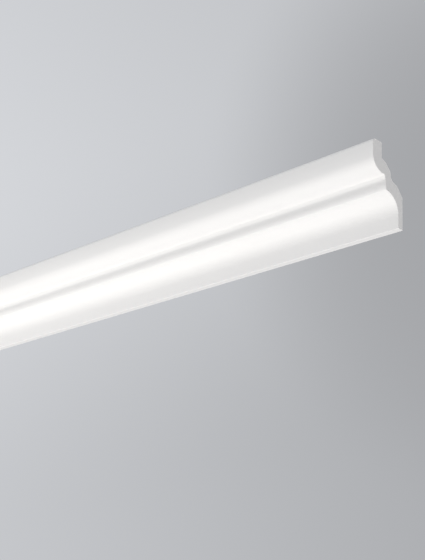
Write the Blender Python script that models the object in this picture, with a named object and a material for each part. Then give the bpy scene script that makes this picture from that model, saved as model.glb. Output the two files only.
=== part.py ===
"""A length of crown moulding: a light foam cornice with a moulded front and a plain back.

The length runs along X, the moulded front looks towards -Y and down, and +Z is up. The flat glue
strip at the foot of the back lies in the plane y = 0, and the origin is the middle of that strip.
The section is worked out in millimetres as (depth, drop): depth goes from the foremost face to
the plane of the glue strip, and drop goes down from the flat top.
"""

import math

import bmesh
import bpy
from mathutils import Vector

MM = 0.001

# Overall sizes, in millimetres
LENGTH = 700.0
HEIGHT = 80.0
PROJECTION = 46.3

# Front of the section, from the flat top down
TOP_EDGE_RADIUS = 4.0
TOP_FILLET_FOOT = 16.8
OVOLO_RADIUS = 15.4
MID_FILLET_DEPTH = 18.6
MID_FILLET_LEAN = 1.7
MID_FILLET_HEIGHT = 15.1
QUIRK_RADIUS = 1.6
ARRIS_RADIUS = 1.6
CAVETTO_RADIUS = 19.2
FOOT_THICKNESS = 6.9
FOOT_EDGE_RADIUS = 0.6

# Back of the section, from the glue strip up: two shoulders, each with a steep chamfer and a
# gentle slope. The lower knee and valley are (distance in front of the strip, drop).
GLUE_STRIP_TOP = 46.0
LOWER_KNEE = (8.4, 36.8)
LOWER_VALLEY = (15.5, 34.5)
RISER_DEPTH = 28.0
RISER_FOOT = 31.3
RISER_TOP = 26.2
UPPER_KNEE = (20.1, 18.6)
TOP_BAND_THICKNESS = 13.8
TOP_BAND_FOOT = 16.2
STRIP_EDGE_RADIUS = 1.6
KNEE_RADIUS = 2.0
UPPER_KNEE_RADIUS = 4.0
RISER_EDGE_RADIUS = 6.0
CREASE_RADIUS = 0.6

# Smoothness: the largest turn of one facet of an arc, the least turn that shows as a sharp edge,
# and how near two points count as one
FACET_TURN = math.radians(6.0)
SHARP_TURN = math.radians(30.0)
MERGE_DISTANCE = 0.01

NODE_NAME = "crown_moulding"
PRIMER_COLOUR = (0.85, 0.85, 0.84, 1.0)
PRIMER_ROUGHNESS = 0.55


def clear_scene():
    """Remove whatever the file holds."""
    for item in list(bpy.data.objects):
        bpy.data.objects.remove(item, do_unlink=True)


def arc(centre, radius, start, end):
    """Points on a round stretch, from the angle start to the angle end, in degrees."""
    turn = math.radians(end - start)
    steps = max(2, math.ceil(abs(turn) / FACET_TURN))
    angles = [math.radians(start) + turn * i / steps for i in range(steps + 1)]
    return [centre + radius * Vector((math.cos(a), math.sin(a))) for a in angles]


def bearing(vector):
    """The angle of a vector, in degrees."""
    return math.degrees(math.atan2(vector.y, vector.x))


def shorter_way(start, end):
    """The angle end, turned by whole rounds so that it is under half a round from start."""
    return start + (end - start + 180.0) % 360.0 - 180.0


def rounded_corner(before, corner, after, radius):
    """Points that round off the corner between two straight stretches."""
    back = (before - corner).normalized()
    ahead = (after - corner).normalized()
    half = back.angle(ahead) / 2.0
    centre = corner + (back + ahead).normalized() * radius / math.sin(half)
    reach = radius / math.tan(half)
    start = bearing(corner + back * reach - centre)
    end = bearing(corner + ahead * reach - centre)
    return arc(centre, radius, start, shorter_way(start, end))


def rounded_arris(start, end, hollow, radius, blend):
    """Points of a rounded edge where the line from start to end meets a round hollow.

    They are followed by the rest of the hollow, which ends level with its centre.
    """
    along = (end - start).normalized()
    inward = Vector((along.y, -along.x))
    base = start + inward * blend - hollow
    half_b = base.dot(along)
    reach = -half_b - math.sqrt(half_b**2 - base.length_squared + (radius + blend) ** 2)
    centre = hollow + base + along * reach
    towards_hollow = bearing(hollow - centre)
    from_line = bearing(-inward)
    edge = arc(centre, blend, from_line, shorter_way(from_line, towards_hollow))
    return edge + arc(hollow, radius, bearing(centre - hollow), 0.0)


def front_outline():
    """The moulded front: fillet, ovolo, leaning fillet, cavetto and plain foot."""
    underside = TOP_FILLET_FOOT + OVOLO_RADIUS
    quirk = Vector((MID_FILLET_DEPTH, underside))
    arris = quirk + Vector((MID_FILLET_LEAN, MID_FILLET_HEIGHT))
    foot_face = PROJECTION - FOOT_THICKNESS
    hollow = Vector((foot_face - CAVETTO_RADIUS, arris.y + CAVETTO_RADIUS))
    ovolo_centre = Vector((OVOLO_RADIUS, TOP_FILLET_FOOT))
    points = arc(Vector((TOP_EDGE_RADIUS, TOP_EDGE_RADIUS)), TOP_EDGE_RADIUS, 270.0, 180.0)
    points += arc(ovolo_centre, OVOLO_RADIUS, 180.0, 90.0)
    points += rounded_corner(Vector((OVOLO_RADIUS, underside)), quirk, arris, QUIRK_RADIUS)
    points += rounded_arris(quirk, arris, hollow, CAVETTO_RADIUS, ARRIS_RADIUS)
    points += rounded_corner(
        points[-1],
        Vector((foot_face, HEIGHT)),
        Vector((PROJECTION, HEIGHT)),
        FOOT_EDGE_RADIUS,
    )
    return points


def back_outline():
    """The plain back, from the foot of the glue strip up to the flat top."""
    strip_foot = Vector((PROJECTION, HEIGHT))
    top_back = Vector((TOP_BAND_THICKNESS, 0.0))
    knees = [
        (Vector((PROJECTION, GLUE_STRIP_TOP)), STRIP_EDGE_RADIUS),
        (Vector((PROJECTION - LOWER_KNEE[0], LOWER_KNEE[1])), KNEE_RADIUS),
        (Vector((PROJECTION - LOWER_VALLEY[0], LOWER_VALLEY[1])), KNEE_RADIUS),
        (Vector((RISER_DEPTH, RISER_FOOT)), KNEE_RADIUS),
        (Vector((RISER_DEPTH, RISER_TOP)), RISER_EDGE_RADIUS),
        (Vector(UPPER_KNEE), UPPER_KNEE_RADIUS),
        (Vector((TOP_BAND_THICKNESS, TOP_BAND_FOOT)), CREASE_RADIUS),
    ]
    corners = [strip_foot] + [corner for corner, radius in knees] + [top_back]
    points = [strip_foot]
    for i, (corner, radius) in enumerate(knees, start=1):
        points += rounded_corner(corners[i - 1], corner, corners[i + 1], radius)
    points.append(top_back)
    return points


def strip_middle():
    """How far the middle of the glue strip is below the flat top."""
    corner = Vector((PROJECTION, GLUE_STRIP_TOP))
    knee = Vector((PROJECTION - LOWER_KNEE[0], LOWER_KNEE[1]))
    down = Vector((0.0, 1.0))
    half = (knee - corner).angle(down) / 2.0
    top = GLUE_STRIP_TOP + STRIP_EDGE_RADIUS / math.tan(half)
    return (top + HEIGHT) / 2.0


def moulding_mesh():
    """The section, drawn at the left end and drawn out along the length."""
    middle = strip_middle()
    bm = bmesh.new()
    left = -LENGTH / 2.0
    section = front_outline() + back_outline()
    corners = [
        bm.verts.new(Vector((left, p.x - PROJECTION, middle - p.y)) * MM) for p in section
    ]
    bmesh.ops.remove_doubles(bm, verts=corners, dist=MERGE_DISTANCE * MM)
    face = bm.faces.new(bm.verts)
    drawn = bmesh.ops.extrude_face_region(bm, geom=[face], use_keep_orig=True)
    moved = [v for v in drawn["geom"] if isinstance(v, bmesh.types.BMVert)]
    bmesh.ops.translate(bm, verts=moved, vec=(LENGTH * MM, 0.0, 0.0))
    bmesh.ops.recalc_face_normals(bm, faces=bm.faces)
    mesh = bpy.data.meshes.new(NODE_NAME)
    bm.to_mesh(mesh)
    bm.free()
    return mesh


def primer():
    """The matt white primer that covers the moulding."""
    material = bpy.data.materials.new("primed_foam")
    material.use_nodes = True
    shader = material.node_tree.nodes["Principled BSDF"]
    shader.inputs["Base Color"].default_value = PRIMER_COLOUR
    shader.inputs["Roughness"].default_value = PRIMER_ROUGHNESS
    shader.inputs["Metallic"].default_value = 0.0
    return material


def main():
    """Build the one piece."""
    clear_scene()
    mesh = moulding_mesh()
    mesh.materials.append(primer())
    mesh.shade_smooth()
    mesh.set_sharp_from_angle(angle=SHARP_TURN)
    moulding = bpy.data.objects.new(NODE_NAME, mesh)
    bpy.context.scene.collection.objects.link(moulding)


if __name__ == "__main__":
    main()
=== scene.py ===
"""The looks of a length of crown moulding: its surface, its finishes, and the light it stands in.

The moulding's length runs along X, its moulded front looks towards -Y and down, the flat glue strip
on its back lies in the plane y = 0, and +Z is up. Its section is swept along the length by a
Geometry Nodes tree, and its three finishes (primer on the front, bare foam skin on the back and on
top, sawn foam on the ends) are node materials. Sizes of the section are in millimetres, as a
moulding drawing gives them, and everything else is in metres.
"""

from __future__ import annotations

import logging
import math
from dataclasses import dataclass, field, replace
from enum import Enum
from typing import Iterable, Optional, Sequence, Union

import bpy
from mathutils import Matrix, Vector


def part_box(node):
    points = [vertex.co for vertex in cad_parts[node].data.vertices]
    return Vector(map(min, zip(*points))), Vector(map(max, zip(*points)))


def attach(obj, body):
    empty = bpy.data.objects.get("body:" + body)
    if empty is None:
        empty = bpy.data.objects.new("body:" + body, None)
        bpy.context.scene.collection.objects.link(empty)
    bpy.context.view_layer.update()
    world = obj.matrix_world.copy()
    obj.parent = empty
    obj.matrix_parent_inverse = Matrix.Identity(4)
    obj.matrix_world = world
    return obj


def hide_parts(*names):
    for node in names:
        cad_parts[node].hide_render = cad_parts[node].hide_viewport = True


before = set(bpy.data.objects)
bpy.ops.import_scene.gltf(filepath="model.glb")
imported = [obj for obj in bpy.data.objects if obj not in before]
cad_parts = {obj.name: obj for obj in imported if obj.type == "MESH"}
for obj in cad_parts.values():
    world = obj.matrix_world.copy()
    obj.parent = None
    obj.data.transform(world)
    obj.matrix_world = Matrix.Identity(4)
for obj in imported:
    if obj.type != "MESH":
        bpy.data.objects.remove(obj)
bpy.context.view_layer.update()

LOG = logging.getLogger("crown_moulding")
NODE = "crown_moulding"
PIECE = "cornice_length"
MM = 0.001

# The ways in the section's plane, as angles in degrees
BACKWARD, DOWNWARD, FORWARD, UPWARD = 0.0, 90.0, 180.0, 270.0

# How far a wave texture of scale 1 turns in one metre, in radians
WAVE_TURN = 20.0

# The setting of a Map Range node that eases in and out
EASED = {"interpolation_type": "SMOOTHSTEP"}

# The middle of the section, halfway along, where most lights are aimed
MIDDLE = (0.0, -0.02, 0.02)

Colour = tuple[float, float, float, float]
Point = tuple[float, float, float]


def grey(level: float, warmth: float = 0.0) -> Colour:
    """A near-neutral colour.

    Args:
        level: how light it is, from 0 to 1, in linear light.
        warmth: how much redder than blue it is.

    Returns:
        The colour, with full alpha.
    """
    return (level * (1.0 + warmth / 2.0), level, level * (1.0 - warmth / 2.0), 1.0)


class Wire:
    """An output socket of a node, which can be used in sums."""

    def __init__(self, graph: Graph, socket: bpy.types.NodeSocket) -> None:
        """Keep the socket and the graph that it is in."""
        self.graph = graph
        self.socket = socket

    def _math(self, operation: str, first: Term, second: Term) -> Wire:
        """Add one Math node.

        Args:
            operation: the Math node's operation.
            first: its first value.
            second: its second value.

        Returns:
            The result.
        """
        node = self.graph.node("ShaderNodeMath", {"operation": operation}, {0: first, 1: second})
        return Wire(self.graph, node.outputs[0])

    def __add__(self, other: Term) -> Wire:
        """self + other."""
        return self._math("ADD", self, other)

    def __radd__(self, other: Term) -> Wire:
        """other + self."""
        return self._math("ADD", other, self)

    def __sub__(self, other: Term) -> Wire:
        """self - other."""
        return self._math("SUBTRACT", self, other)

    def __rsub__(self, other: Term) -> Wire:
        """other - self."""
        return self._math("SUBTRACT", other, self)

    def __mul__(self, other: Term) -> Wire:
        """self * other."""
        return self._math("MULTIPLY", self, other)

    def __rmul__(self, other: Term) -> Wire:
        """other * self."""
        return self._math("MULTIPLY", other, self)

    def __truediv__(self, other: Term) -> Wire:
        """self / other."""
        return self._math("DIVIDE", self, other)

    def __rtruediv__(self, other: Term) -> Wire:
        """other / self."""
        return self._math("DIVIDE", other, self)

    def __gt__(self, other: Term) -> Wire:
        """1 where self is greater than other, and 0 elsewhere."""
        return self._math("GREATER_THAN", self, other)

    def __lt__(self, other: Term) -> Wire:
        """1 where self is less than other, and 0 elsewhere."""
        return self._math("LESS_THAN", self, other)

    def size(self) -> Wire:
        """self without its sign."""
        return self._math("ABSOLUTE", self, 0.0)

    def clamped(self) -> Wire:
        """self kept between 0 and 1."""
        return self.graph.wire("ShaderNodeClamp", {}, {"Value": self})

    def between(self, low: float, high: float) -> Wire:
        """0 up to low, 1 from high, and smooth in between."""
        span = {"Value": self, "From Min": low, "From Max": high}
        return self.graph.wire("ShaderNodeMapRange", EASED, span, "Result")


Term = Union[Wire, float, int]
Feed = Union[Wire, bpy.types.NodeSocket, float, int, bool, str, Sequence[float]]
Feeds = dict[Union[int, str], Feed]


class Graph:
    """A node tree with short ways to add nodes to it."""

    def __init__(self, tree: bpy.types.NodeTree) -> None:
        """Work on the tree, which is emptied."""
        self.tree = tree
        tree.nodes.clear()

    @staticmethod
    def _pick(
        sockets: Iterable[bpy.types.NodeSocket], key: Union[int, str]
    ) -> bpy.types.NodeSocket:
        """Find a socket.

        Args:
            sockets: a node's inputs or outputs.
            key: its place, its identifier or its name.

        Returns:
            The socket.
        """
        found = list(sockets)
        if isinstance(key, int):
            return found[key]
        for socket in found:
            if socket.identifier == key:
                return socket
        return next(s for s in found if s.name == key and s.enabled)

    def feed(self, socket: bpy.types.NodeSocket, value: Feed) -> None:
        """Link a socket to a wire or to another node's socket, or set its value.

        Args:
            socket: the input socket.
            value: what it is linked to or set to.
        """
        if isinstance(value, Wire):
            self.tree.links.new(value.socket, socket)
        elif isinstance(value, bpy.types.NodeSocket):
            self.tree.links.new(value, socket)
        else:
            socket.default_value = value

    def node(
        self, kind: str, settings: Optional[dict[str, str]] = None, inputs: Optional[Feeds] = None
    ) -> bpy.types.Node:
        """Add a node.

        Args:
            kind: the node's type.
            settings: its own settings, which are set before its inputs.
            inputs: what each input is set or linked to.

        Returns:
            The node.
        """
        made = self.tree.nodes.new(kind)
        for name, value in (settings or {}).items():
            setattr(made, name, value)
        for key, value in (inputs or {}).items():
            self.feed(self._pick(made.inputs, key), value)
        return made

    def wire(
        self,
        kind: str,
        settings: Optional[dict[str, str]] = None,
        inputs: Optional[Feeds] = None,
        output: Union[int, str] = 0,
    ) -> Wire:
        """Add a node and take one of its outputs.

        Args:
            kind: the node's type.
            settings: its own settings.
            inputs: what each input is set or linked to.
            output: which output is taken.

        Returns:
            The output.
        """
        made = self.node(kind, settings, inputs)
        return Wire(self, self._pick(made.outputs, output))

    def mix(self, factor: Term, first: Feed, second: Feed, blend: str = "MIX") -> Wire:
        """Lay a second colour over a first one.

        Args:
            factor: how much of the second is laid on, from 0 to 1.
            first: the first colour.
            second: the second colour.
            blend: how it is laid on.

        Returns:
            The colour.
        """
        settings = {"data_type": "RGBA", "blend_type": blend}
        colours = {"Factor_Float": factor, "A_Color": first, "B_Color": second}
        return self.wire("ShaderNodeMix", settings, colours, "Result_Color")

    def vector_math(self, operation: str, inputs: Feeds, output: str = "Value") -> Wire:
        """Add one Vector Math node and take one of its outputs."""
        return self.wire("ShaderNodeVectorMath", {"operation": operation}, inputs, output)

    def scaled(self, vector: Feed, share: Term) -> Wire:
        """A vector or a colour, times a number."""
        return self.vector_math("SCALE", {"Vector": vector, "Scale": share}, "Vector")

    def axis(self, vector: Feed, name: str) -> Wire:
        """One axis of a vector."""
        return self.wire("ShaderNodeSeparateXYZ", {}, {"Vector": vector}, name)


class Zone(Enum):
    """Which side of the moulding a stretch of its section belongs to."""

    FRONT = 0.0
    BACK = 1.0


@dataclass
class Stretch:
    """Part of the section's outline: points in millimetres as (depth, drop), and its side."""

    points: list[Vector]
    zone: Zone


@dataclass(frozen=True)
class Swell:
    """A gentle turn that the primer gives to a flat stretch of the front.

    Attributes:
        level: the drop where the stretch stands upright, in millimetres.
        reach: the drop where the turn ends, above or below the level.
        radius: how round the turn is.
    """

    level: float
    reach: float
    radius: float

    def eased(self, drop: float, tilt: float) -> float:
        """Turn a point down to the swell's own slope, where it isn't turned that far already.

        Args:
            drop: how far the point is below the flat top, in millimetres.
            tilt: how far it faces down, in radians.

        Returns:
            How far it faces down once it is eased.
        """
        low, high = sorted((self.level, self.reach))
        if not low <= drop <= high:
            return tilt
        return max(tilt, math.asin(min(1.0, abs(drop - self.level) / self.radius)))


@dataclass(frozen=True)
class Waist:
    """A faint waist round the middle of a fillet, which turns it up a little.

    Attributes:
        top: the drop where it starts, in millimetres.
        foot: the drop where it ends.
        turn: how far the fillet is turned up in its middle, in radians.
    """

    top: float
    foot: float
    turn: float

    def tilt(self, drop: float) -> float:
        """How far the waist turns a point up.

        Args:
            drop: how far the point is below the flat top, in millimetres.

        Returns:
            How much less it faces down, in radians.
        """
        if not self.top <= drop <= self.foot:
            return 0.0
        return self.turn * math.sin(math.pi * (drop - self.top) / (self.foot - self.top))


@dataclass(frozen=True)
class OutlinePoint:
    """A point of the outline, with the side it is on and the way it faces."""

    place: Vector
    zone: Zone
    facing: Vector


@dataclass
class Section:
    """The moulding's section, in millimetres.

    Depth goes from the foremost face back to the glue strip, and drop goes down from the flat top.
    The front's sizes come first, from the top down, then the back's, from the foot up. The lower
    knee and valley are (distance in front of the glue strip, drop), and the upper knee is
    (depth, drop). Last come the primer's swells and waist, and how finely the outline is drawn.
    """

    height: float
    projection: float
    top_edge_radius: float = 4.0
    top_fillet_foot: float = 16.8
    ovolo_radius: float = 15.4
    mid_fillet_depth: float = 18.6
    mid_fillet_lean: float = 1.7
    mid_fillet_height: float = 15.1
    quirk_radius: float = 1.6
    arris_radius: float = 1.6
    cavetto_radius: float = 19.2
    foot_thickness: float = 6.9
    foot_edge_radius: float = 0.6
    glue_strip_top: float = 46.0
    lower_knee: tuple[float, float] = (8.4, 36.8)
    lower_valley: tuple[float, float] = (15.5, 34.5)
    riser_depth: float = 28.0
    riser_foot: float = 31.3
    riser_top: float = 26.2
    upper_knee: tuple[float, float] = (20.1, 18.6)
    top_band_thickness: float = 13.8
    top_band_foot: float = 16.2
    strip_edge_radius: float = 1.6
    knee_radius: float = 2.0
    upper_knee_radius: float = 4.0
    riser_edge_radius: float = 6.0
    crease_radius: float = 0.6
    blunt_corner_radius: float = 0.35
    swells: tuple[Swell, ...] = (
        Swell(level=7.0, reach=20.2, radius=80.0),
        Swell(level=38.0, reach=32.2, radius=5.8),
        Swell(level=43.3, reach=47.0, radius=7.0),
    )
    waist: Waist = Waist(top=35.8, foot=43.6, turn=math.radians(20.5))
    facet_turn: float = math.radians(3.0)
    fewest_facets: int = 2
    longest_step: float = 1.0
    shortest_step: float = 0.01

    def arc(self, centre: Vector, radius: float, start: float, end: float) -> list[Vector]:
        """Points on a round stretch.

        Args:
            centre: the middle of the round.
            radius: its radius.
            start: the angle it starts at, in degrees.
            end: the angle it ends at, in degrees.

        Returns:
            The points, both ends included.
        """
        turn = math.radians(end - start)
        steps = max(self.fewest_facets, math.ceil(abs(turn) / self.facet_turn))
        angles = [math.radians(start) + turn * i / steps for i in range(steps + 1)]
        return [centre + radius * Vector((math.cos(a), math.sin(a))) for a in angles]

    @staticmethod
    def bearing(vector: Vector) -> float:
        """The angle of a vector, in degrees."""
        return math.degrees(math.atan2(vector.y, vector.x))

    @staticmethod
    def shorter_way(start: float, end: float) -> float:
        """The angle end, turned by whole rounds so that it is under half a round from start."""
        return start + (end - start + 180.0) % 360.0 - 180.0

    def corner(self, before: Vector, at: Vector, after: Vector, radius: float) -> list[Vector]:
        """Round off the corner between two straight stretches.

        Args:
            before: a point on the stretch that comes in.
            at: the sharp corner.
            after: a point on the stretch that goes out.
            radius: how round the corner is.

        Returns:
            The points of the round.
        """
        back = (before - at).normalized()
        ahead = (after - at).normalized()
        half = back.angle(ahead) / 2.0
        centre = at + (back + ahead).normalized() * radius / math.sin(half)
        reach = radius / math.tan(half)
        start = self.bearing(at + back * reach - centre)
        end = self.bearing(at + ahead * reach - centre)
        return self.arc(centre, radius, start, self.shorter_way(start, end))

    def arris(self, start: Vector, end: Vector, hollow: Vector) -> list[Vector]:
        """The rounded arris where the middle fillet meets the cavetto, and the cavetto itself.

        Args:
            start: a point high on the fillet.
            end: the sharp arris.
            hollow: the middle of the cavetto's round.

        Returns:
            The points down to where the cavetto is upright.
        """
        radius, blend = self.cavetto_radius, self.arris_radius
        along = (end - start).normalized()
        inward = Vector((along.y, -along.x))
        base = start + inward * blend - hollow
        half_b = base.dot(along)
        spread = half_b**2 - base.length_squared + (radius + blend) ** 2
        centre = hollow + base + along * (-half_b - math.sqrt(spread))
        first = self.bearing(-inward)
        last = self.shorter_way(first, self.bearing(hollow - centre))
        edge = self.arc(centre, blend, first, last)
        return edge + self.arc(hollow, radius, self.bearing(centre - hollow), BACKWARD)

    def front(self) -> Stretch:
        """The moulded front.

        Returns:
            Its points, from the flat top down to the foot.
        """
        underside = self.top_fillet_foot + self.ovolo_radius
        quirk = Vector((self.mid_fillet_depth, underside))
        arris = quirk + Vector((self.mid_fillet_lean, self.mid_fillet_height))
        foot_face = self.projection - self.foot_thickness
        hollow = Vector((foot_face - self.cavetto_radius, arris.y + self.cavetto_radius))
        edge = self.top_edge_radius
        points = self.arc(Vector((edge, edge)), edge, UPWARD, FORWARD)
        ovolo_centre = Vector((self.ovolo_radius, self.top_fillet_foot))
        points += self.arc(ovolo_centre, self.ovolo_radius, FORWARD, DOWNWARD)
        points += self.corner(points[-1], quirk, arris, self.quirk_radius)
        points += self.arris(quirk, arris, hollow)
        foot_front = Vector((foot_face, self.height))
        foot_back = Vector((self.projection, self.height))
        points += self.corner(points[-1], foot_front, foot_back, self.foot_edge_radius)
        return Stretch(points, Zone.FRONT)

    def back(self) -> Stretch:
        """The plain back.

        Returns:
            Its points, from the foot up to the flat top.
        """
        foot_front = Vector((self.projection - self.foot_thickness, self.height))
        foot_back = Vector((self.projection, self.height))
        top_back = Vector((self.top_band_thickness, 0.0))
        top_front = Vector((self.top_edge_radius, 0.0))
        knees = [
            (foot_back, self.blunt_corner_radius),
            (Vector((self.projection, self.glue_strip_top)), self.strip_edge_radius),
            (self.before_strip(self.lower_knee), self.knee_radius),
            (self.before_strip(self.lower_valley), self.knee_radius),
            (Vector((self.riser_depth, self.riser_foot)), self.knee_radius),
            (Vector((self.riser_depth, self.riser_top)), self.riser_edge_radius),
            (Vector(self.upper_knee), self.upper_knee_radius),
            (Vector((self.top_band_thickness, self.top_band_foot)), self.crease_radius),
            (top_back, self.blunt_corner_radius),
        ]
        corners = [foot_front] + [at for at, radius in knees] + [top_front]
        points: list[Vector] = []
        for i, (at, radius) in enumerate(knees, start=1):
            points += self.corner(corners[i - 1], at, corners[i + 1], radius)
        return Stretch(points, Zone.BACK)

    def before_strip(self, knee: tuple[float, float]) -> Vector:
        """A point given by how far it is in front of the glue strip and below the flat top."""
        return Vector((self.projection - knee[0], knee[1]))

    def steps(self) -> list[tuple[Vector, Zone]]:
        """The whole outline, with no step longer than the longest or shorter than the shortest.

        Returns:
            Each point with the side of the moulding that it belongs to.
        """
        corners: list[tuple[Vector, Zone]] = []
        for stretch in (self.front(), self.back()):
            for point in stretch.points:
                if not corners or (point - corners[-1][0]).length > self.shortest_step:
                    corners.append((point, stretch.zone))
        steps: list[tuple[Vector, Zone]] = []
        for (start, zone), (end, _) in zip(corners, corners[1:] + corners[:1]):
            count = max(1, math.ceil((end - start).length / self.longest_step))
            steps += [(start.lerp(end, i / count), zone) for i in range(count)]
        return steps

    def outline(self) -> list[OutlinePoint]:
        """The whole outline with the ways it faces, eased where the primer eases them.

        Returns:
            The points in their order round the section.
        """
        steps = self.steps()
        points: list[OutlinePoint] = []
        for i, (place, zone) in enumerate(steps):
            along = (steps[(i + 1) % len(steps)][0] - steps[i - 1][0]).normalized()
            facing = Vector((-along.y, along.x))
            if zone is Zone.FRONT:
                tilt = math.atan2(facing.y, -facing.x)
                for swell in self.swells:
                    tilt = swell.eased(place.y, tilt)
                tilt -= self.waist.tilt(place.y)
                facing = Vector((-math.cos(tilt), math.sin(tilt)))
            points.append(OutlinePoint(place, zone, facing))
        return points


@dataclass(frozen=True)
class Relief:
    """Grain that lifts a surface or changes its tone.

    Attributes:
        scale: grains per metre.
        height: how high they stand, in metres.
        detail: how many finer layers they have.
        stretch: how much longer they are along the moulding than across it.
    """

    scale: float
    height: float = 0.0
    detail: float = 2.0
    stretch: float = 1.0


class Coat(Graph):
    """The node tree of a material, with short ways to read places and to add grain."""

    def __init__(self, material: bpy.types.Material) -> None:
        """Work on the material, whose nodes are emptied."""
        material.use_nodes = True
        super().__init__(material.node_tree)

    def place(self, stretch: float = 1.0) -> Wire:
        """Where a point is on the moulding, in metres.

        Args:
            stretch: how much longer the pattern is along X.

        Returns:
            The place.
        """
        coords = self.wire("ShaderNodeTexCoord", output="Object")
        if stretch == 1.0:
            return coords
        squeezed = {"Vector": coords, "Scale": (1.0 / stretch, 1.0, 1.0)}
        return self.wire("ShaderNodeMapping", {}, squeezed)

    def grain(self, relief: Relief) -> Wire:
        """Smooth grain.

        Args:
            relief: how fine and how long the grain is.

        Returns:
            The grain, from 0 to 1.
        """
        place = self.place(relief.stretch)
        inputs = {"Vector": place, "Scale": relief.scale, "Detail": relief.detail}
        return self.wire("ShaderNodeTexNoise", {}, inputs, "Fac")

    def cells(self, per_metre: float) -> bpy.types.Node:
        """Scattered cells: each point's distance to the nearest middle, and a colour for each."""
        return self.node("ShaderNodeTexVoronoi", {}, {"Vector": self.place(), "Scale": per_metre})

    def raised(self, height: Term, reach: float, under: Optional[Wire] = None) -> Wire:
        """Tilt the surface's normal as a relief does.

        Args:
            height: the relief, from 0 to 1.
            reach: what 1 stands for, in metres.
            under: a normal that this one is laid over.

        Returns:
            The normal.
        """
        inputs: Feeds = {"Height": height, "Distance": reach}
        if under is not None:
            inputs["Normal"] = under
        return self.wire("ShaderNodeBump", {}, inputs, "Normal")

    def surface(
        self, colour: Feed, roughness: Feed, normal: Optional[Wire] = None
    ) -> bpy.types.Node:
        """Add the shader of a plain surface.

        Args:
            colour: its colour.
            roughness: how matt it is.
            normal: the way that its relief turns it.

        Returns:
            The shader.
        """
        inputs: Feeds = {"Base Color": colour, "Roughness": roughness}
        if normal is not None:
            inputs["Normal"] = normal
        return self.node("ShaderNodeBsdfPrincipled", {}, inputs)


class Finish:
    """A surface finish: the base of the three kinds on the moulding."""

    name: str = "finish"

    def shade(self, coat: Coat) -> bpy.types.Node:
        """Add the shader and what feeds it. Each finish has its own."""
        raise NotImplementedError

    def material(self) -> bpy.types.Material:
        """Make the finish's material.

        Returns:
            The material.
        """
        made = bpy.data.materials.new(self.name)
        coat = Coat(made)
        surface = {"Surface": self.shade(coat).outputs["BSDF"]}
        coat.node("ShaderNodeOutputMaterial", {}, surface)
        return made


@dataclass(frozen=True)
class Primer(Finish):
    """The smooth matt white primer on the moulded front, darker under the foot with painted shade.

    Attributes:
        foot_level: how high the underside of the foot is, in metres.
        foot_shade_fade: how far above that the painted shade starts to lift, and where it is gone.
        foot_shade_level: how much of the primer's colour the painted shade under the foot leaves,
            for one part of the rest.
        colour: the lighter of its two tones.
        shade_colour: the darker one.
        clouds: its slow changes of tone and gloss.
        orange_peel: its faint pebbling.
        draw_marks: the long faint marks of the mould.
        roughest: how matt its dullest places are.
        smoothest: how matt its glossiest places are.
    """

    name: str = "white_primer"
    foot_level: float = 0.0
    foot_shade_fade: tuple[float, float] = (0.1 * MM, 0.5 * MM)
    foot_shade_level: float = 0.92
    colour: Colour = grey(0.88, 0.004)
    shade_colour: Colour = grey(0.86, 0.010)
    clouds: Relief = Relief(scale=9.0, detail=3.0)
    orange_peel: Relief = Relief(scale=520.0, height=0.00009)
    draw_marks: Relief = Relief(scale=160.0, height=0.00004, stretch=60.0)
    roughest: float = 0.56
    smoothest: float = 0.44

    def painted_foot_shade(self, coat: Coat) -> Wire:
        """Painted shade under the foot: full primer colour on the front, and darker on the
        underside of the foot.
        """
        above = (coat.axis(coat.place(), "Z") - self.foot_level).between(*self.foot_shade_fade)
        return self.foot_shade_level + (1.0 - self.foot_shade_level) * above

    def shade(self, coat: Coat) -> bpy.types.Node:
        """Nearly even white, faintly pebbled, with the fainter marks of the mould along it, and
        darker under the foot with painted shade.

        Args:
            coat: the material's graph.

        Returns:
            The shader.
        """
        clouds = coat.grain(self.clouds)
        along = coat.raised(coat.grain(self.draw_marks), self.draw_marks.height)
        normal = coat.raised(coat.grain(self.orange_peel), self.orange_peel.height, along)
        roughness = self.smoothest + (self.roughest - self.smoothest) * clouds
        clouded = coat.mix(clouds, self.colour, self.shade_colour)
        # the primer's colour is darkened under the foot here: painted shade
        return coat.surface(coat.scaled(clouded, self.painted_foot_shade(coat)), roughness, normal)


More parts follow.
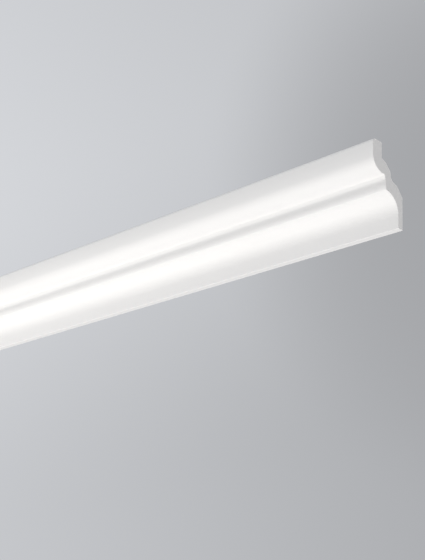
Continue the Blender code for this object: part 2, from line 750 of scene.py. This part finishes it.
@dataclass(frozen=True)
class FoamSkin(Finish):
    """The bare skin of the foam on the back and on top, as it leaves the mould.

    Attributes:
        colour: the lighter of its two tones.
        dull_colour: the darker one.
        clouds: its mottling.
        cloud_range: the levels of the mottling where the darker tone starts, and where it is full.
        pebble: its pebbling.
        bubbles_per_metre: how close together bubbles may be.
        bubble_size: the radius of the largest bubble, for one part of the space it is in.
        least_bubble: the radius of the smallest one, which is too small to see.
        bubble_rim: where a bubble's slope starts and ends, for one part of its radius.
        bubble_depth: how deep the bubbles are, in metres.
        bubble_shade_colour: the darker colour inside them, painted shade in the bubbles.
        bubble_shade: how much of that painted shade shows.
        roughness: how matt the skin is.
        pebble_roughness: how much more matt the top of a pebble is.
    """

    name: str = "foam_skin"
    colour: Colour = grey(0.80, 0.02)
    dull_colour: Colour = grey(0.74, 0.04)
    clouds: Relief = Relief(scale=14.0, detail=4.0)
    cloud_range: tuple[float, float] = (0.3, 0.7)
    pebble: Relief = Relief(scale=260.0, height=0.00012, detail=3.0)
    bubbles_per_metre: float = 150.0
    bubble_size: float = 0.24
    least_bubble: float = 0.001
    bubble_rim: tuple[float, float] = (0.5, 1.0)
    bubble_depth: float = 0.0003
    bubble_shade_colour: Colour = grey(0.45, 0.05)
    bubble_shade: float = 0.35
    roughness: float = 0.72
    pebble_roughness: float = 0.08

    def bubbles(self, coat: Coat) -> Wire:
        """Where a bubble has opened. A few are large, and most are too small to see.

        Args:
            coat: the material's graph.

        Returns:
            1 in the middle of a bubble, and 0 on the sound skin.
        """
        scattered = coat.cells(self.bubbles_per_metre)
        chance = coat.wire("ShaderNodeSeparateColor", {}, {0: scattered.outputs["Color"]}, "Red")
        radius = self.bubble_size * chance * chance * chance + self.least_bubble
        away = Wire(coat, scattered.outputs["Distance"]) / radius
        return 1.0 - away.between(*self.bubble_rim)

    def shade(self, coat: Coat) -> bpy.types.Node:
        """Slightly creamy and mottled, pebbled, with a few small open bubbles darkened inside with
        painted shade.

        Args:
            coat: the material's graph.

        Returns:
            The shader.
        """
        clouds = coat.grain(self.clouds).between(*self.cloud_range)
        pebble = coat.grain(self.pebble)
        bubbles = self.bubbles(coat)
        pebbled = coat.raised(pebble, self.pebble.height)
        normal = coat.raised(1.0 - bubbles, self.bubble_depth, pebbled)
        mottled = coat.mix(clouds, self.colour, self.dull_colour)
        # the bubbles are darkened: painted shade inside them
        colour = coat.mix(bubbles * self.bubble_shade, mottled, self.bubble_shade_colour)
        return coat.surface(colour, self.roughness + self.pebble_roughness * pebble, normal)


@dataclass(frozen=True)
class SawnFoam(Finish):
    """The foam's fine cells, cut through by a saw at the ends.

    Attributes:
        rim_colour: the colour between the cells.
        pit_shade_colour: the darker colour inside them, painted shade in the pits.
        pit_shade: how much of that painted shade shows.
        pit_range: how near a cell's middle its pit starts, and where it is full, from 0 to 1.
        cells_per_metre: how fine the cells are.
        cell_depth: how deep the pits are, in metres.
        coarse: the lumps where cells have torn out together.
        saw_lines_per_metre: how close the saw's lines are.
        saw_angle: how far they slant, in degrees.
        saw_wobble: how unsteady they are.
        saw_detail: how many finer layers the unsteadiness has.
        saw_depth: how deep they are, in metres.
        roughness: how matt the cut is.
    """

    name: str = "sawn_foam"
    rim_colour: Colour = grey(0.86, 0.01)
    pit_shade_colour: Colour = grey(0.70, 0.02)
    pit_shade: float = 0.5
    pit_range: tuple[float, float] = (0.45, 0.95)
    cells_per_metre: float = 2200.0
    cell_depth: float = 0.00008
    coarse: Relief = Relief(scale=420.0, height=0.00008, detail=3.0)
    saw_lines_per_metre: float = 330.0
    saw_angle: float = 35.0
    saw_wobble: float = 2.0
    saw_detail: float = 3.0
    saw_depth: float = 0.00003
    roughness: float = 0.85

    def saw_lines(self, coat: Coat) -> Wire:
        """Faint slanting lines that the saw's teeth left.

        Args:
            coat: the material's graph.

        Returns:
            The lines, from 0 to 1.
        """
        slant = (math.radians(self.saw_angle), 0.0, 0.0)
        turned = {"Vector": coat.place(), "Rotation": slant}
        inputs = {
            "Vector": coat.wire("ShaderNodeMapping", {}, turned),
            "Scale": self.saw_lines_per_metre * 2.0 * math.pi / WAVE_TURN,
            "Distortion": self.saw_wobble,
            "Detail": self.saw_detail,
        }
        return coat.wire("ShaderNodeTexWave", {"bands_direction": "Z"}, inputs, "Fac")

    def shade(self, coat: Coat) -> bpy.types.Node:
        """Fine open cells, darkened inside with painted shade, with thin white rims.

        Args:
            coat: the material's graph.

        Returns:
            The shader.
        """
        away = Wire(coat, coat.cells(self.cells_per_metre).outputs["Distance"])
        pits = (1.0 - away).between(*self.pit_range)
        sawn = coat.raised(self.saw_lines(coat), self.saw_depth)
        lumpy = coat.raised(coat.grain(self.coarse), self.coarse.height, sawn)
        normal = coat.raised(1.0 - pits, self.cell_depth, lumpy)
        # the pits are darkened: painted shade in the cells
        colour = coat.mix(pits * self.pit_shade, self.rim_colour, self.pit_shade_colour)
        return coat.surface(colour, self.roughness, normal)


class Measure(Enum):
    """The named inputs of the sweeping tree that hold sizes."""

    LENGTH = "Length"
    EDGE = "Broken Edge"
    STATIONS = "Stations"


class Side(Enum):
    """The named inputs of the sweeping tree that hold materials."""

    FRONT = "Front Finish"
    BACK = "Back Finish"
    END = "End Finish"


@dataclass
class SweepTree:
    """The Geometry Nodes tree that sweeps a closed section along X.

    Attributes:
        end_angle: how far a face of an end may be turned from the length's way, in degrees.
    """

    name: str = "sweep_along_length"
    end_angle: float = 30.0

    def __post_init__(self) -> None:
        """Start the tree with what it takes and gives."""
        self.tree = bpy.data.node_groups.new(self.name, "GeometryNodeTree")
        face = self.tree.interface
        face.new_socket("Geometry", in_out="INPUT", socket_type="NodeSocketGeometry")
        for measure in Measure:
            kind = "NodeSocketInt" if measure is Measure.STATIONS else "NodeSocketFloat"
            face.new_socket(measure.value, in_out="INPUT", socket_type=kind)
        for side in Side:
            face.new_socket(side.value, in_out="INPUT", socket_type="NodeSocketMaterial")
        face.new_socket("Geometry", in_out="OUTPUT", socket_type="NodeSocketGeometry")
        self.graph = Graph(self.tree)
        self.given = self.graph.node("NodeGroupInput")

    def build(self) -> bpy.types.NodeTree:
        """Fill the tree.

        Returns:
            The tree, which ends in Realize Instances and Set Material.
        """
        section = {"Mesh": self.given.outputs["Geometry"]}
        profile = self.graph.wire("GeometryNodeMeshToCurve", {}, section)
        along = {"Curve": self._path(), "Profile Curve": profile, "Fill Caps": True}
        swept = self.graph.wire("GeometryNodeCurveToMesh", {}, along)
        turned = {"Geometry": self._turned(self._broken(swept))}
        real = self.graph.wire("GeometryNodeRealizeInstances", {}, turned)
        self.graph.node("NodeGroupOutput", {}, {"Geometry": self._coated(real)})
        return self.tree

    def _size(self, measure: Measure) -> Wire:
        """One of the sizes that the tree is given."""
        return Wire(self.graph, self.given.outputs[measure.value])

    def _attribute(self, name: str, kind: str) -> Wire:
        """What each point of the section carries under a name."""
        node = "GeometryNodeInputNamedAttribute"
        return self.graph.wire(node, {"data_type": kind}, {"Name": name}, "Attribute")

    def _facing(self) -> Wire:
        """The way each point of the section faces."""
        return self._attribute("facing", "FLOAT_VECTOR")

    def _true_normal(self) -> Wire:
        """The way each face really looks."""
        return self.graph.wire("GeometryNodeInputNormal", output="True Normal")

    def _on_end(self) -> Wire:
        """Find the faces of the sawn ends.

        Returns:
            1 on them, and 0 elsewhere.
        """
        lengthwise = self.graph.axis(self._true_normal(), "X").size()
        on_end = {0: lengthwise > math.cos(math.radians(self.end_angle))}
        return self.graph.wire("GeometryNodeFieldOnDomain", {"domain": "FACE"}, on_end)

    def _path(self) -> Wire:
        """Lay the path along X.

        Its stations are evenly spaced, apart from the first and the last, which stand one broken
        edge outside their neighbours.

        Returns:
            The path.
        """
        edge = self._size(Measure.EDGE)
        stations = self._size(Measure.STATIONS)
        straight = self.graph.wire("GeometryNodeCurvePrimitiveLine", {}, {"End": (1.0, 0.0, 0.0)})
        divided = {"Curve": straight, "Count": stations}
        path = self.graph.wire("GeometryNodeResampleCurve", {}, divided)
        index = self.graph.wire("GeometryNodeInputIndex")
        last = stations - 1.0
        share = ((index - 1.0) / (last - 2.0)).clamped()
        even = (share - 0.5) * (self._size(Measure.LENGTH) - 2.0 * edge)
        x = even + edge * (index > last - 0.5) - edge * (index < 0.5)
        place = self.graph.wire("ShaderNodeCombineXYZ", {}, {"X": x})
        moved = {"Geometry": path, "Position": place}
        return self.graph.wire("GeometryNodeSetPosition", {}, moved)

    def _broken(self, swept: Wire) -> Wire:
        """Draw the outermost rings in, so that the sawn edges are a little broken.

        Args:
            swept: the sharp sweep.

        Returns:
            The sweep with its broken edges.
        """
        edge = self._size(Measure.EDGE)
        half_length = self._size(Measure.LENGTH) * 0.5
        position = self.graph.wire("GeometryNodeInputPosition")
        at_end = self.graph.axis(position, "X").size() > half_length - edge * 0.5
        offset = self.graph.scaled(self._facing(), -1.0 * edge * at_end)
        moved = {"Geometry": swept, "Offset": offset}
        return self.graph.wire("GeometryNodeSetPosition", {}, moved)

    def _turned(self, broken: Wire) -> Wire:
        """Shade the sides by the ways the section's points face, and the ends flat.

        Args:
            broken: the sweep.

        Returns:
            The sweep with its normals.
        """
        ways = {
            "Factor_Float": self._on_end(),
            "A_Vector": self._facing(),
            "B_Vector": self._true_normal(),
        }
        normal = self.graph.wire("ShaderNodeMix", {"data_type": "VECTOR"}, ways, "Result_Vector")
        settings = {"mode": "FREE", "domain": "CORNER"}
        inputs = {"Mesh": broken, "Custom Normal": normal}
        return self.graph.wire("GeometryNodeSetMeshNormal", settings, inputs)

    def _coated(self, bare: Wire) -> Wire:
        """Give the front, the back and the sawn ends their finishes.

        Args:
            bare: the sweep.

        Returns:
            The finished sweep.
        """
        zone = self._attribute("zone", "FLOAT")
        picks: dict[Side, Feed] = {
            Side.FRONT: True,
            Side.BACK: zone > 0.5 * (Zone.FRONT.value + Zone.BACK.value),
            Side.END: self._on_end(),
        }
        coated = bare
        for side, chosen in picks.items():
            finish = self.given.outputs[side.value]
            inputs = {"Geometry": coated, "Selection": chosen, "Material": finish}
            coated = self.graph.wire("GeometryNodeSetMaterial", {}, inputs)
        return coated


@dataclass
class CrownMoulding:
    """The moulding itself: one piece that stands for its plain solid.

    Attributes:
        station_step: how far apart the rings of the sweep are, in metres.
        broken_edge: how far the sawn edges are broken, in metres.
        primer: the finish of the front.
        skin: the finish of the back and the top.
        sawn: the finish of the ends.
    """

    station_step: float = 0.006
    broken_edge: float = 0.0003
    primer: Primer = field(default_factory=Primer)
    skin: FoamSkin = field(default_factory=FoamSkin)
    sawn: SawnFoam = field(default_factory=SawnFoam)

    def __post_init__(self) -> None:
        """Take the overall sizes from the frame."""
        self.low, self.high = (Vector(corner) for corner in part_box(NODE))
        size = self.high - self.low
        self.length = size.x
        self.section = Section(height=size.z / MM, projection=size.y / MM)

    def section_ring(self) -> bpy.types.Object:
        """Draw the section as a closed ring of edges, at the origin of the length.

        It is drawn where the sweep wants it: its X is the distance in front of the glue strip, and
        its Y is the distance below the origin.

        Returns:
            The ring, with its sides and the ways it faces as attributes.
        """
        ring = self.section.outline()
        front = -self.low.y
        corners = [
            (front - point.place.x * MM, point.place.y * MM - self.high.z, 0.0) for point in ring
        ]
        count = len(corners)
        mesh = bpy.data.meshes.new("section")
        mesh.from_pydata(corners, [(i, (i + 1) % count) for i in range(count)], [])
        zones = mesh.attributes.new("zone", "FLOAT", "POINT")
        zones.data.foreach_set("value", [point.zone.value for point in ring])
        facing = mesh.attributes.new("facing", "FLOAT_VECTOR", "POINT")
        ways = [part for point in ring for part in (0.0, point.facing.x, -point.facing.y)]
        facing.data.foreach_set("vector", ways)
        made = bpy.data.objects.new("section", mesh)
        bpy.context.scene.collection.objects.link(made)
        return made

    def swept(self, ring: bpy.types.Object) -> bpy.types.Mesh:
        """Sweep the section along the length.

        Args:
            ring: the section, which is used up.

        Returns:
            The plain mesh.
        """
        even_stations = round(self.length / self.station_step) + 1
        outermost_stations = 2
        values: dict[str, Union[float, int, bpy.types.Material]] = {
            Measure.LENGTH.value: self.length,
            Measure.EDGE.value: self.broken_edge,
            Measure.STATIONS.value: even_stations + outermost_stations,
            Side.FRONT.value: replace(self.primer, foot_level=self.low.z).material(),
            Side.BACK.value: self.skin.material(),
            Side.END.value: self.sawn.material(),
        }
        sweep = ring.modifiers.new("sweep", "NODES")
        sweep.node_group = SweepTree().build()
        for item in sweep.node_group.interface.items_tree:
            if item.in_out == "INPUT" and item.name in values:
                sweep[item.identifier] = values[item.name]
        graph = bpy.context.evaluated_depsgraph_get()
        mesh = bpy.data.meshes.new_from_object(ring.evaluated_get(graph))
        bpy.data.objects.remove(ring)
        return mesh

    def build(self) -> bpy.types.Object:
        """Make the piece and set it on the frame.

        Returns:
            The finished piece.
        """
        mesh = self.swept(self.section_ring())
        mesh.name = PIECE
        mesh.shade_smooth()
        piece = bpy.data.objects.new(PIECE, mesh)
        bpy.context.scene.collection.objects.link(piece)
        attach(piece, "root")
        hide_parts(NODE)
        return piece


@dataclass(frozen=True)
class SoftLight:
    """A square area light that the camera doesn't see.

    Attributes:
        place: where it stands.
        size: how long its sides are, in metres.
        power: how strong it is, in watts.
        colour: its tint.
        target: where it is aimed.
    """

    name: str
    place: Point
    size: float
    power: float
    colour: Point
    target: Point = MIDDLE

    def build(self) -> bpy.types.Object:
        """Set up the light.

        Returns:
            The light.
        """
        lamp = bpy.data.lights.new(self.name, "AREA")
        lamp.shape = "SQUARE"
        lamp.size = self.size
        lamp.energy = self.power
        lamp.color = self.colour
        made = bpy.data.objects.new(self.name, lamp)
        made.location = self.place
        aim = Vector(self.target) - Vector(self.place)
        made.rotation_euler = aim.to_track_quat("-Z", "Y").to_euler()
        made.visible_camera = False
        bpy.context.scene.collection.objects.link(made)
        return made


@dataclass(frozen=True)
class AirPatch:
    """A soft patch of the air round the moulding, which is lighter or darker than the rest.

    Attributes:
        heading: which way it is, in degrees clockwise from +Y.
        height: how high it is above the horizon, in degrees.
        edge: the cosine of the angle from its middle where it starts.
        core: the cosine where it is full, which may be past 1.
    """

    heading: float
    height: float
    edge: float
    core: float

    def middle(self) -> Point:
        """The way to its middle.

        Returns:
            A direction of length 1.
        """
        turn, rise = math.radians(self.heading), math.radians(self.height)
        flat = math.cos(rise)
        return (math.sin(turn) * flat, math.cos(turn) * flat, math.sin(rise))

    def strength(self, graph: Graph, direction: Wire) -> Wire:
        """How far into the patch a direction is, from 0 to 1."""
        nearness = graph.vector_math("DOT_PRODUCT", {0: direction, 1: self.middle()})
        return nearness.between(self.edge, self.core)


@dataclass
class Studio:
    """The pale floor, the grey air around, the lights and the camera.

    Places are in metres, angles are in degrees, headings run clockwise from +Y, and the lens is in
    millimetres. The floor is solid out to floor_solid, and has faded out at floor_radius. The air
    is of the dim colour all round, but of the side colour in the patch side_glow and of the darker
    shadow_patch_colour in the patch shadow_patch, beyond the right end, where it is a painted
    shadow behind the cut end, and it gains the top colour in the patch top_glow, overhead.
    """

    floor_height: float = -2.4
    floor_radius: float = 14.0
    floor_solid: float = 4.0
    floor_sides: int = 96
    floor_colour: Colour = grey(0.60, -0.02)
    floor_roughness: float = 0.9
    dim_colour: Colour = (0.405, 0.4135, 0.431, 1.0)
    side_colour: Colour = (0.735, 0.75, 0.782, 1.0)
    top_colour: Colour = (0.14, 0.143, 0.149, 1.0)
    shadow_patch_colour: Colour = (0.375, 0.382, 0.398, 1.0)
    side_glow: AirPatch = AirPatch(heading=-83.9, height=0.0, edge=0.535, core=1.24)
    top_glow: AirPatch = AirPatch(heading=-166.6, height=68.9, edge=-0.007, core=0.303)
    # a darker patch of air behind the right end: a painted shadow behind the cut end
    shadow_patch: AirPatch = AirPatch(heading=-28.0, height=25.5, edge=0.957, core=1.0)
    camera_place: Point = (0.9342, -0.8198, -0.4542)
    camera_heading: float = -45.563
    camera_pitch: float = 20.855
    camera_roll: float = 3.108
    camera_near: float = 0.01
    lens: float = 73.93
    lights: tuple[SoftLight, ...] = (
        SoftLight(
            name="key_from_below",
            place=(0.6, -0.3, -2.2),
            size=1.4,
            power=21.81,
            colour=(1.0, 0.978, 0.959),
            target=(0.6, -0.3, 0.0),
        ),
        SoftLight(
            name="key_below_in_front",
            place=(-0.9, -1.1, -1.1),
            size=1.4,
            power=16.69,
            colour=(1.0, 0.967, 0.913),
            target=(-0.9, -0.02, 0.02),
        ),
        SoftLight(
            name="fill_in_front",
            place=(-2.5, -2.5, 0.0),
            size=2.0,
            power=9.54,
            colour=(1.0, 0.943, 0.842),
        ),
        SoftLight(
            name="fill_from_the_right",
            place=(3.0, -0.5, 0.3),
            size=2.0,
            power=11.4,
            colour=(1.0, 0.92, 0.82),
        ),
        SoftLight(
            name="fill_behind",
            place=(-0.4, 2.2, 1.6),
            size=1.6,
            power=40.0,
            colour=(1.0, 0.966, 0.91),
        ),
    )

    def world(self) -> None:
        """A soft grey all round, lighter on one side and overhead, and darker in one patch behind
        the right end, a painted shadow.
        """
        world = bpy.data.worlds.new("studio_air")
        bpy.context.scene.world = world
        world.use_nodes = True
        graph = Graph(world.node_tree)
        direction = graph.wire("ShaderNodeTexCoord", output="Generated")
        side = self.side_glow.strength(graph, direction)
        sided = graph.mix(side, self.dim_colour, self.side_colour)
        top = self.top_glow.strength(graph, direction)
        lifted = graph.mix(top, sided, self.top_colour, "ADD")
        # the air is darkened behind the right end: painted shadow
        shadowed_air = graph.mix(self.shadow_patch.strength(graph, direction), lifted, self.shadow_patch_colour)
        air = graph.node("ShaderNodeBackground", {}, {"Color": shadowed_air})
        graph.node("ShaderNodeOutputWorld", {}, {"Surface": air.outputs["Background"]})

    def floor_material(self) -> bpy.types.Material:
        """Make the floor's material, which fades out towards the rim.

        Returns:
            The material.
        """
        material = bpy.data.materials.new("pale_floor")
        coat = Coat(material)
        away = coat.vector_math("LENGTH", {0: coat.place()})
        faded = {
            0: away.between(self.floor_solid, self.floor_radius),
            1: coat.surface(self.floor_colour, self.floor_roughness).outputs["BSDF"],
            2: coat.node("ShaderNodeBsdfTransparent").outputs["BSDF"],
        }
        fade = coat.wire("ShaderNodeMixShader", {}, faded)
        coat.node("ShaderNodeOutputMaterial", {}, {"Surface": fade})
        return material

    def floor(self) -> bpy.types.Object:
        """Lay the plain pale round floor, far below the moulding.

        Returns:
            The floor.
        """
        mesh = bpy.data.meshes.new("floor")
        sides = range(self.floor_sides)
        turns = [2.0 * math.pi * i / self.floor_sides for i in sides]
        rim = [
            (self.floor_radius * math.cos(a), self.floor_radius * math.sin(a), self.floor_height)
            for a in turns
        ]
        mesh.from_pydata(rim, [], [sides])
        mesh.materials.append(self.floor_material())
        floor = bpy.data.objects.new("floor", mesh)
        bpy.context.scene.collection.objects.link(floor)
        return floor

    def camera(self) -> bpy.types.Object:
        """Set up the camera, below the moulding's right end and looking up along it.

        Returns:
            The camera.
        """
        data = bpy.data.cameras.new("camera")
        data.lens = self.lens
        data.clip_start = self.camera_near
        made = bpy.data.objects.new("camera", data)
        level = 90.0  # an unturned camera looks straight down
        turn = Matrix.Rotation(math.radians(-self.camera_heading), 4, "Z")
        tilt = Matrix.Rotation(math.radians(level + self.camera_pitch), 4, "X")
        roll = Matrix.Rotation(math.radians(self.camera_roll), 4, "Z")
        made.matrix_world = Matrix.Translation(self.camera_place) @ turn @ tilt @ roll
        bpy.context.scene.collection.objects.link(made)
        bpy.context.scene.camera = made
        return made

    def build(self) -> None:
        """Set up everything round the moulding."""
        bpy.context.scene.view_settings.view_transform = "Standard"
        self.world()
        self.floor()
        self.camera()
        for light in self.lights:
            light.build()


def main() -> None:
    """Build the moulding and the studio, and report each piece."""
    logging.basicConfig(level=logging.INFO, format="%(name)s: %(message)s")
    Studio().build()
    piece = CrownMoulding().build()
    faces = len(piece.data.polygons)
    LOG.info("%s: %d faces, %.4f x %.4f x %.4f m", piece.name, faces, *piece.dimensions)


if __name__ == "__main__":
    main()
